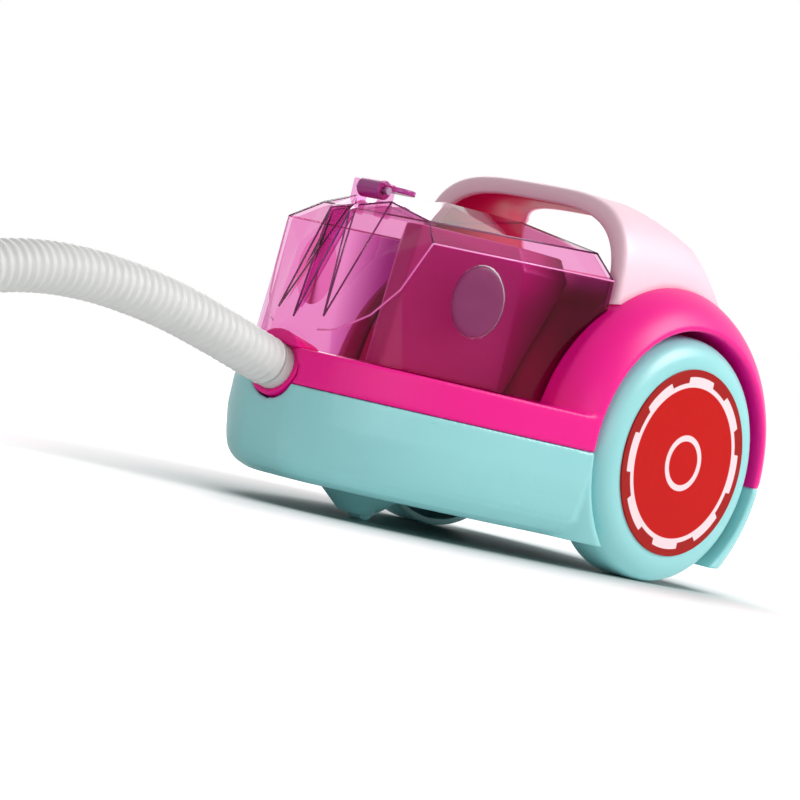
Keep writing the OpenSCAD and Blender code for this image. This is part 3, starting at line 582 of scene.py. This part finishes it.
wheelProfile += [(drumRim - inset, drumWide - drop) for inset, drop in wheelSet["shoulder"]]
wheelProfile += [(wheelSet["recess"], drumWide), (wheelSet["recess"], drumWide - wheelSet["recessDeep"]),
                 (wheelSet["bore"], drumWide - wheelSet["recessDeep"])]
discProfile = [(discSet["core"], 0), (discSet["radius"], 0), (discSet["radius"], discSet["thick"]),
               (discSet["core"], discSet["thick"])]


# puts a turned profile on the axle, from a distance out to one side
def onAxle(side, start):
    return lambda a, b, y: (axle[0] + a, side * (start + y), axle[1] + b)


for side, name in ((-1, "left"), (1, "right")):
    verts, faces = lathe(roundCorners(wheelProfile, wheelSet["soft"]), wheelSet["sides"],
                         onAxle(side, wheelSet["face"] - drumWide))
    wheel = meshPiece(name + "WheelDrum", verts, [f[::-1] for f in faces] if side > 0 else faces, mintAbs)
    wear(wheel, name + "_wheel", name + "_wheel", slot="mint_plastic")
    verts, faces = lathe(roundCorners(discProfile, discSet["soft"]), discSet["sides"],
                         onAxle(side, wheelSet["face"]))
    disc = meshPiece(name + "DiscPrint", verts, [f[::-1] for f in faces] if side > 0 else faces, printedDisc,
                     smooth=False)
    wear(disc, name + "_wheel", name + "_disc", slot="printed_disc")
print("wheels turned")

# casings: outline from above is one smooth curve, so the solid's flats are drawn out to it
bodySet = {
    "curve": [(-121.5, 10.0), (-115.5, 44.0), (-61.5, 62.0), (-6.5, 74.7)], "steps": 14, "reach": 20,
    "footZ": [11, 14, 19, 27, 37], "footInset": [14, 7, 3.2, 1.2, 0],
    "footSlope": [-3.2, -1.15, -0.38, -0.16, 0.0], "footReach": 18, "footEndX": -6, "footSpots": 60,
}
curvePoints = np.array(bodySet["curve"])


def outlineSpot(t):
    t = np.asarray(t)[..., None]
    c = curvePoints
    return (1 - t) ** 3 * c[0] + 3 * (1 - t) ** 2 * t * c[1] + 3 * (1 - t) * t * t * c[2] + t ** 3 * c[3]


# moves each spot by the gap between the nearest flat and the curve
def drawOutFlats(spots):
    steps = bodySet["steps"]
    knots = outlineSpot(np.linspace(0, 1, steps + 1))
    flat = np.column_stack([spots[:, 0], np.abs(spots[:, 1])])
    best = np.full(len(flat), np.inf)
    shift = np.zeros_like(flat)
    for i in range(steps):
        chord = knots[i + 1] - knots[i]
        f = np.clip(((flat - knots[i]) @ chord) / (chord @ chord), 0, 1)
        onChord = knots[i] + f[:, None] * chord
        gap = np.linalg.norm(flat - onChord, axis=1)
        nearer = gap < best
        best[nearer] = gap[nearer]
        shift[nearer] = (outlineSpot((i + f) / steps) - onChord)[nearer]
    shift[best > bodySet["reach"]] = 0
    moved = spots.copy()
    moved[:, 0] += shift[:, 0]
    moved[:, 1] += shift[:, 1] * np.sign(spots[:, 1])
    return moved


# the same, and the stepped foot of the casing becomes one round
def roundFoot(spots):
    moved = drawOutFlats(spots)
    z = moved[:, 2]
    heights, insets, slopes = (np.array(bodySet[k], float) for k in ("footZ", "footInset", "footSlope"))
    i = np.clip(np.searchsorted(heights, z) - 1, 0, len(heights) - 2)
    span = heights[i + 1] - heights[i]
    t = np.clip((z - heights[i]) / span, 0, 1)
    easy = hermite(t, insets[i], insets[i + 1], span * slopes[i], span * slopes[i + 1])
    outward = np.interp(z, heights, insets) - easy
    outward[(z < heights[0]) | (z > heights[-1]) | (moved[:, 0] > bodySet["footEndX"])] = 0
    fine = outlineSpot(np.linspace(0, 1, bodySet["footSpots"]))
    away = np.gradient(fine, axis=0)
    away = np.column_stack([-away[:, 1], away[:, 0]]) / np.linalg.norm(away, axis=1)[:, None]
    flat = np.column_stack([moved[:, 0], np.abs(moved[:, 1])])
    best = np.full(len(flat), np.inf)
    normal = np.zeros_like(flat)
    for point, aim in zip(fine, away):
        gap = np.linalg.norm(flat - point, axis=1)
        nearer = gap < best
        best[nearer] = gap[nearer]
        normal[nearer] = aim
    outward[best > bodySet["footReach"]] = 0
    moved[:, 0] += outward * normal[:, 0]
    moved[:, 1] += outward * normal[:, 1] * np.sign(spots[:, 1])
    return moved


mouldedCopy("lower_shell", "lowerCasing", "body", "mint_plastic", mintAbs,
            voxelMm=0.8, rounds=6, keep=0.3, fair=roundFoot)
mouldedCopy("upper_shell", "upperCasing", "body", "hot_pink_plastic", pinkAbs,
            voxelMm=0.8, rounds=14, keep=0.3, fair=drawOutFlats)

# the collar shows as a hump over the hose and closes up to it underneath
collarSet = {"hug": 11.7, "blend": 1.6}


def closeUnder(spots):
    fromMouth = spots - np.array(hoseSet["mouth"])
    along = fromMouth @ hoseAim
    spoke = fromMouth - along[:, None] * hoseAim
    reach = np.maximum(np.linalg.norm(spoke, axis=1), 1e-6)
    under = np.clip(-collarSet["blend"] * spoke[:, 2] / reach, 0, 1)
    closed = reach + under * (np.minimum(reach, collarSet["hug"]) - reach)
    return np.array(hoseSet["mouth"]) + along[:, None] * hoseAim + spoke * (closed / reach)[:, None]


mouldedCopy("hose_socket", "noseCollar", "body", "hot_pink_plastic", pinkAbs,
            voxelMm=0.4, rounds=8, keep=0.5, fair=closeUnder)
# the inner cover takes the darkened pink, a painted shade
mouldedCopy("filter_cover", "innerCover", "body", "hot_pink_plastic", coverPinkPaintedShade,
            voxelMm=0.8, rounds=6, keep=0.3)
mouldedCopy("caster_turret", "casterTurret", "caster", "mint_plastic", mintAbs,
            voxelMm=0.4, rounds=6, keep=0.5)
print("casings moulded")

# bin cover: flat facets with soft creases, mirrored, then given its wall
binSet = {
    "wall": 1.9, "crease": 0.8, "creaseAngle": 9, "frontX": -91, "frontHalf": 41, "rearX": 4.5,
    "rearHalf": 57, "archFromX": -19.9, "archR": 71.3, "archSteps": 8, "middle": (-50, 0, 95),
}
half = {
    # +Y half: b foot, e bowed crease, v q r m pleats, p c g crown, k ridge, r0 to r2 rear end
    "b0": (-116.5, 0, 68.0), "b1": (-116.3, 6, 66.6), "b2": (-115, 12.5, 63), "b3": (-112.5, 20, 63),
    "b4": (-109, 25.8, 63), "b5": (-104.5, 31, 63), "b6": (-98.5, 36.3, 63), "b7": (-91, 41, 63),
    "e0": (-117.3, 0, 70.5), "e1": (-117, 6, 70.6), "e2": (-115, 12.5, 70.8), "e3": (-112, 17.5, 72),
    "e4": (-109.2, 21.7, 74.8), "e5": (-104, 28.7, 81.2), "e6": (-97.6, 35.4, 93.5), "p1": (-91, 41, 114.4),
    "vTip": (-117, 0, 74), "q": (-113.5, 12.8, 76.6), "vTop": (-97, 0, 123.5), "r": (-104.8, 5.3, 120.3),
    "m": (-103, 6.5, 121.3), "p2": (-87, 10, 128), "c2": (-84, 30, 123.2), "g": (-100.5, 21.5, 104),
    "k0": (-77, 0, 128), "k1": (-45, 0, 134.5), "k2": (4.5, 0, 135.5),
    "c2b": (-45, 36.6, 125.6), "r2": (4.5, 45, 128.5), "p1b": (-45, 48.7, 116.4), "r1": (4.5, 57, 118.5),
    "r0": (4.5, 57, 106.5), "k3": (4.5, 0, 106.5),
}


def sideWallY(x):
    run = (x - binSet["frontX"]) / (binSet["rearX"] - binSet["frontX"])
    return binSet["frontHalf"] + (binSet["rearHalf"] - binSet["frontHalf"]) * run


# foot of the side wall, which follows the wheel arch
archNames = []
for i in range(binSet["archSteps"]):
    x = binSet["archFromX"] + (binSet["rearX"] - binSet["archFromX"]) * i / binSet["archSteps"]
    half["a%d" % i] = (x, sideWallY(x), axle[1] + math.sqrt(binSet["archR"] ** 2 - (axle[0] - x) ** 2))
    archNames.append("a%d" % i)
archNames.append("r0")
facets = [("b%d" % i, "b%d" % (i + 1), "e%d" % (i + 1), "e%d" % i) for i in range(6)]
facets += [("b6", "b7", "p1", "e6"),
           ("e0", "e1", "vTip"), ("e1", "e2", "q", "vTip"), ("e2", "e3", "q"), ("e3", "e4", "q"),
           ("vTip", "r", "vTop"), ("vTip", "q", "m", "r"), ("q", "p2", "m"),
           ("q", "e4", "g"), ("e4", "e5", "g"), ("e5", "e6", "g"), ("e6", "p1", "g"), ("p1", "c2", "g"),
           ("c2", "p2", "g"), ("p2", "q", "g"), ("vTop", "r", "m"), ("vTop", "m", "p2"), ("vTop", "p2", "k0"),
           ("k0", "p2", "c2"), ("k0", "c2", "c2b", "k1"), ("k1", "c2b", "r2", "k2"),
           ("c2", "p1", "p1b", "c2b"), ("c2b", "p1b", "r1", "r2"), ("k2", "r2", "r1", "r0", "k3"),
           tuple(["b7"] + archNames + ["r1", "p1b", "p1"])]
# the lower side facets take the deeper sheet, whose extra dye is painted shade
shadeFacets = set(facets[3:7] + facets[-1:])
foldFacets = {("vTip", "r", "vTop")}
stuffOf = []  # 0 clear, 1 deep, 2 fold
verts, faces, index = [], [], {}
for side in (1, -1):
    for key, spot in half.items():
        index[key, side] = index[key, 1] if side < 0 and spot[1] == 0 else len(verts)
        if index[key, side] == len(verts):
            verts.append((spot[0], side * spot[1], spot[2]))
    for facet in facets:
        loop = [index[key, side] for key in facet]
        faces.append(loop if side > 0 else loop[::-1])
        stuffOf.append(1 if facet in shadeFacets else 2 if facet in foldFacets else 0)
binHood = meshPiece("binHood", verts, faces, clearMagenta, smooth=False)
binHood.data.materials.append(deepMagentaPaintedShade)
binHood.data.materials.append(foldMagenta)
binHood.data.polygons.foreach_set("material_index", stuffOf)
skin = bmesh.new()
skin.from_mesh(binHood.data)
bmesh.ops.recalc_face_normals(skin, faces=skin.faces)
binMiddle = Vector(binSet["middle"])
if sum((f.calc_center_median() - binMiddle * mm).dot(f.normal) * f.calc_area() for f in skin.faces) < 0:
    bmesh.ops.reverse_faces(skin, faces=skin.faces)
skin.to_mesh(binHood.data)
skin.free()
crease = binHood.modifiers.new("creases", "BEVEL")
crease.width = binSet["crease"] * mm
crease.segments = 3
crease.limit_method = "ANGLE"
crease.angle_limit = math.radians(binSet["creaseAngle"])
wall = binHood.modifiers.new("wall", "SOLIDIFY")
wall.thickness = binSet["wall"] * mm
wall.offset = -1
wall.use_even_offset = True
bakeModifiers(binHood)
wear(binHood, "bin", "bin_cover", slot="clear_magenta")

# folds: thin strips just under the skin, dark on the pleats, and a painted highlight on the curved crease
foldSet = {"radius": 0.42, "sides": 6, "under": 0.55, "noFoldAim": (0.31, 0.87, 0.38),
           "dark": [("vTip", "r", "vTop"), ("q", "m"), ("q", "r"), ("q", "p2"), ("vTop", "p2", "c2", "p1"),
                    ("c2", "c2b", "r2"), ("r1", "r2", "k2")],
           "bright": [("e2", "e3", "e4", "e5", "e6", "p1", "p1b", "r1")]}
for tone, stuff in (("dark", foldLine), ("bright", foldHighlightPaint)):
    verts, faces = [], []
    for side in (1, -1):
        for chain in foldSet[tone]:
            spots = [Vector((half[k][0], side * half[k][1], half[k][2])) for k in chain]
            spots = [p + (binMiddle - p).normalized() * foldSet["under"] for p in spots]
            first = len(verts)
            for i, p in enumerate(spots):
                aim = (spots[min(i + 1, len(spots) - 1)] - spots[max(i - 1, 0)]).normalized()
                across = aim.cross(Vector(foldSet["noFoldAim"])).normalized()
                lift = across.cross(aim)
                for k in range(foldSet["sides"]):
                    a = 2 * math.pi * k / foldSet["sides"]
                    verts.append(p + foldSet["radius"] * (math.cos(a) * across + math.sin(a) * lift))
            faces += ringFaces(len(spots), foldSet["sides"], first=first)
            faces += [list(range(first, first + foldSet["sides"]))[::-1],
                      list(range(len(verts) - foldSet["sides"], len(verts)))]
    folds = meshPiece(tone + "Folds", verts, faces, stuff)
    wear(folds, "bin", slot="clear_magenta")

# ears that carry the latch pin, and an oval grip on each side wall, frosted on the left
earSet = {"x": (-92, -84), "y": (6.3, 8.5), "z": (120.5, 134.6), "soft": 0.7}
gripSet = {"x": -62.5, "z": 96.3, "halfWide": 13.6, "halfTall": 15.0, "dome": 0.7, "domePower": 4,
           "proud": 0.02, "rings": 8, "sides": 48}
for side, name in ((-1, "left"), (1, "right")):
    verts = [(x, side * y, z) for z in earSet["z"] for y in earSet["y"] for x in earSet["x"]]
    faces = [(0, 1, 3, 2), (4, 6, 7, 5), (0, 4, 5, 1), (2, 3, 7, 6), (0, 2, 6, 4), (1, 5, 7, 3)]
    ear = meshPiece(name + "LatchEar", verts, [f[::-1] for f in faces] if side > 0 else faces, deepMagentaPaintedShade,
                    smooth=False)
    soft = ear.modifiers.new("soft", "BEVEL")
    soft.width = earSet["soft"] * mm
    soft.segments = 3
    bakeModifiers(ear)
    wear(ear, "bin", slot="clear_magenta")
    verts = []
    for i in range(1, gripSet["rings"] + 1):
        f = i / gripSet["rings"]
        for k in range(gripSet["sides"]):
            a = 2 * math.pi * k / gripSet["sides"]
            x = gripSet["x"] + gripSet["halfWide"] * f * math.cos(a)
            z = gripSet["z"] + gripSet["halfTall"] * f * math.sin(a)
            rise = gripSet["proud"] + gripSet["dome"] * (1 - f ** gripSet["domePower"])
            verts.append((x, side * (sideWallY(x) + rise), z))
    verts.append((gripSet["x"], side * (sideWallY(gripSet["x"]) + gripSet["dome"]), gripSet["z"]))
    faces = ringFaces(gripSet["rings"], gripSet["sides"])
    faces += [(len(verts) - 1, (k + 1) % gripSet["sides"], k) for k in range(gripSet["sides"])]
    faces.append([(gripSet["rings"] - 1) * gripSet["sides"] + k for k in range(gripSet["sides"])])
    grip = meshPiece(name + "FrostGrip", verts, faces, frostMagenta if side < 0 else clearMagenta)
    faceOutward(grip)
    wear(grip, "bin", slot="clear_magenta")
mouldedCopy("bin_latch", "latchTab", "latch", "clear_magenta", thickMagenta,
            voxelMm=0.35, rounds=6, keep=0.5)
print("bin folded")

# handle: arched strap with rounded edges, feet cut to the barrel
handleSet = {
    "top": 153.5, "half": 59.0, "foot": 100.0, "power": 3.8, "thick": 7.2, "front": 6.5,
    "rear": [(118.0, 77.5), (140.5, 56.5), (149.5, 36.5), (153.5, 32.5)], "edge": 2.6, "edgeSteps": 6,
    "across": (0.2, 0.4, 0.6, 0.8), "groove": 2.0, "rim": 3.0, "lip": 0.8, "landR": 71.05, "fine": 240,
    "stations": 72,
}
liningSet = {"thick": 1.9, "gap": 0.1, "edgeDrop": 0.3, "edgeIn": 0.4}


def strapRear(z):
    heights, reaches = zip(*handleSet["rear"])
    return float(np.interp(z, heights, reaches))


def archSpot(angle, inward):
    power = 2 / handleSet["power"]
    c, s = math.cos(angle), math.sin(angle)
    y = math.copysign(abs(c) ** power, c) * (handleSet["half"] - inward)
    return y, handleSet["foot"] + (handleSet["top"] - handleSet["foot"] - inward) * max(s, 0) ** power


# lines that run over the arch, one for each point of the strap's section
def strapLine(inward, across, rim):
    line = []
    for k in range(handleSet["fine"] + 1):
        y, z = archSpot(math.pi * k / handleSet["fine"], inward)
        front, rear = handleSet["front"] + rim, strapRear(z) - rim
        line.append((front + (rear - front) * across, y, z))
    line = np.array(line)
    clear = np.hypot(line[:, 0] - axle[0], line[:, 2] - axle[1]) > handleSet["landR"]
    kept = line[clear]
    stretch = np.concatenate([[0], np.cumsum(np.linalg.norm(np.diff(kept, axis=0), axis=1))])
    wanted = np.linspace(0, stretch[-1], handleSet["stations"])
    return np.column_stack([np.interp(wanted, stretch, kept[:, c]) for c in range(3)])


def strapPiece(name, section, material):
    lines = [strapLine(inward, across, rim) for inward, across, rim in section]
    sides = len(lines)
    verts = [lines[j][i] for i in range(handleSet["stations"]) for j in range(sides)]
    faces = ringFaces(handleSet["stations"], sides)
    faces += [list(range(sides))[::-1], [(handleSet["stations"] - 1) * sides + j for j in range(sides)]]
    piece = meshPiece(name, verts, faces, material)
    faceOutward(piece)
    return piece


thick, edge, lip, rim = (handleSet[k] for k in ("thick", "edge", "lip", "rim"))
grooveFloor = thick - handleSet["groove"]
edgeArc = [(edge * (1 - math.sin(a)), edge * (1 - math.cos(a)))
           for a in np.linspace(0, math.pi / 2, handleSet["edgeSteps"])]
section = [(inward, 0.0, inset) for inward, inset in edgeArc]
section += [(0.0, share, edge) for share in handleSet["across"]]
section += [(inward, 1.0, inset) for inward, inset in edgeArc[::-1]]
section += [(thick - lip, 1.0, 0.0), (thick, 1.0, lip), (thick, 1.0, rim), (grooveFloor, 1.0, rim),
            (grooveFloor, 0.0, rim), (thick, 0.0, rim), (thick, 0.0, lip), (thick - lip, 0.0, 0.0)]
carryHandle = strapPiece("carryHandle", section, palePinkAbs)
wear(carryHandle, "body", "handle", slot="pale_pink_plastic")
liningIn = rim + liningSet["gap"]
liningEdge = liningIn + liningSet["edgeIn"]
upper, bend = thick - liningSet["thick"], thick - liningSet["edgeDrop"]
section = [(upper, 0.0, liningIn), (upper, 1.0, liningIn), (bend, 1.0, liningIn),
           (thick, 1.0, liningEdge), (thick, 0.0, liningEdge), (bend, 0.0, liningIn)]
handleLining = strapPiece("handleLining", section, crimsonAbs)
wear(handleLining, "body", "handle_lining", slot="crimson_plastic")
print("handle arched")

# the rest of the solids keep their shape and take their stuff
nodeStuff = {
    "latch_pin": zincSteel, "handle_screws": zincSteel, "wheel_axle": zincSteel, "axle_caps": zincSteel,
    "wheel_spacers": whiteAcetal, "caster_roller": mintAbs, "roller_pin": zincSteel, "caster_clip": zincSteel,
    "filter_screen": foamMesh, "fan": whiteAcetal, "motor_shaft": zincSteel, "motor": motorSteel,
    "motor_clamp": whiteAcetal, "battery_tray": blackStyrene, "batteries": cellJacket,
    "battery_contacts": zincSteel, "battery_door": mintAbs, "door_screw": zincSteel,
    "circuit_board": boardResin, "speaker": blackStyrene, "power_button": palePinkAbs,
    "power_switch": blackStyrene, "case_screws": zincSteel,
}
for node, stuff in nodeStuff.items():
    dressNode(node, stuff)
softenNode("power_button", widthMm=0.6)
softenNode("battery_door", widthMm=0.4)
print("other pieces dressed")

# floor: white gloss board with a blurred reflection; for the camera it carries a painted shadow close to the
# part, and further off it is lifted to plain white
floorSet = {
    "grainMm": 60, "roughness": (0.28, 0.36), "white": "#F7F8F8", "paintedShadowTint": "#5F6E6C", "shadeReachMm": 110,
    "shadeFrom": 0.3, "ior": 1.33, "mirrorShare": 0.22, "lift": (0.42, 1.0), "liftReachMm": (250, 800),
    "halfMm": 8000,
}
floorMaterial, tree = newMaterial("boardWhiteGloss")
place = addNode(tree, "ShaderNodeTexCoord")
grain = addNode(tree, "ShaderNodeTexNoise", values={"Scale": perMetre(floorSet["grainMm"]), "Detail": 2.0},
                links={"Vector": (place, "Object")})
sheen = addNode(tree, "ShaderNodeMapRange",
                values={"To Min": floorSet["roughness"][0], "To Max": floorSet["roughness"][1]},
                links={"Value": (grain, "Fac")})
# painted shadow: for the camera the board darkens where the part is close above it
nearness = addNode(tree, "ShaderNodeAmbientOcclusion", values={"Distance": floorSet["shadeReachMm"] * mm})
openness = addNode(tree, "ShaderNodeMapRange", values={"From Min": floorSet["shadeFrom"]},
                   links={"Value": (nearness, "AO")})
paintedShadow = addNode(tree, "ShaderNodeMix", {"data_type": "RGBA"},
                 {mixA: hexToLinear(floorSet["paintedShadowTint"]), mixB: hexToLinear(floorSet["white"])},
                 {0: (openness, "Result")})
paint = addNode(tree, "ShaderNodeBsdfDiffuse", links={"Color": (paintedShadow, mixOut)})
away = addNode(tree, "ShaderNodeVectorMath", {"operation": "LENGTH"}, links={0: (place, "Object")})
liftNear, liftEnd = (reach * mm for reach in floorSet["liftReachMm"])
liftFar = addNode(tree, "ShaderNodeMapRange",
                  values={"From Min": liftNear, "From Max": liftEnd,
                          "To Min": floorSet["lift"][0], "To Max": floorSet["lift"][1]},
                  links={"Value": (away, "Value")})
liftHere = addNode(tree, "ShaderNodeMath", {"operation": "MULTIPLY"},
                   links={0: (openness, "Result"), 1: (liftFar, "Result")})
plainPaint = addNode(tree, "ShaderNodeBsdfDiffuse", values={"Color": hexToLinear(floorSet["white"])})
lift = addNode(tree, "ShaderNodeEmission", values={"Color": (1, 1, 1, 1)},
               links={"Strength": (liftHere, "Value")})
lifted = addNode(tree, "ShaderNodeAddShader", links={0: (paint, "BSDF"), 1: (lift, "Emission")})
path = addNode(tree, "ShaderNodeLightPath")
seen = addNode(tree, "ShaderNodeMixShader",
               links={0: (path, "Is Camera Ray"), 1: (plainPaint, "BSDF"), 2: (lifted, "Shader")})
lacquer = addNode(tree, "ShaderNodeBsdfGlossy", values={"Color": (1, 1, 1, 1)},
                  links={"Roughness": (sheen, "Result")})
mirror = addNode(tree, "ShaderNodeFresnel", values={"IOR": floorSet["ior"]})
share = addNode(tree, "ShaderNodeMath", {"operation": "MULTIPLY"}, {1: floorSet["mirrorShare"]},
                {0: (mirror, "Fac")})
board = addNode(tree, "ShaderNodeMixShader", links={0: (share, "Value"), 1: (seen, "Shader"),
                                                    2: (lacquer, "BSDF")})
addNode(tree, "ShaderNodeOutputMaterial", links={"Surface": (board, "Shader")})
floorHalf = floorSet["halfMm"]
corners = [(x * floorHalf, y * floorHalf, 0) for x, y in ((-1, -1), (1, -1), (1, 1), (-1, 1))]
floor = meshPiece("floorBoard", corners, [(0, 1, 2, 3)], floorMaterial, smooth=False)

# white surround for the eye, softer for the light it gives
worldSet = {"light": 0.38, "seen": 1.0}
world = bpy.data.worlds.new("studio")
scene.world = world
world.use_nodes = True
tree = world.node_tree
tree.nodes.clear()
path = addNode(tree, "ShaderNodeLightPath")
seenOne = addNode(tree, "ShaderNodeMath", {"operation": "MAXIMUM"},
                  links={0: (path, "Is Camera Ray"), 1: (path, "Is Glossy Ray")})
seenAny = addNode(tree, "ShaderNodeMath", {"operation": "MAXIMUM"},
                  links={0: (seenOne, "Value"), 1: (path, "Is Transmission Ray")})
soft = addNode(tree, "ShaderNodeBackground", values={"Color": (1, 1, 1, 1), "Strength": worldSet["light"]})
white = addNode(tree, "ShaderNodeBackground", values={"Color": (1, 1, 1, 1), "Strength": worldSet["seen"]})
shown = addNode(tree, "ShaderNodeMixShader",
                links={0: (seenAny, "Value"), 1: (soft, "Background"), 2: (white, "Background")})
addNode(tree, "ShaderNodeOutputWorld", links={"Surface": (shown, "Shader")})

# softboxes, all aimed at the part's middle
lampAim = Vector((0, 0, 60)) * mm
lampSet = {
    "key": {"at": (600, -850, 850), "size": 600, "watts": 11.8},
    "fill": {"at": (-500, -1150, 220), "size": 500, "watts": 1.5},
    "back": {"at": (500, 900, 900), "size": 700, "watts": 4.0},
    "low": {"at": (-520, -420, 60), "size": 260, "watts": 0.22},
}
for name, lamp in lampSet.items():
    light = bpy.data.lights.new(name + "Light", "AREA")
    light.size = lamp["size"] * mm
    light.energy = lamp["watts"]
    holder = bpy.data.objects.new(name + "Light", light)
    scene.collection.objects.link(holder)
    holder.location = Vector(lamp["at"]) * mm
    aim = lampAim - holder.location
    holder.rotation_euler = aim.to_track_quat("-Z", "Y").to_euler()
print("lights placed")
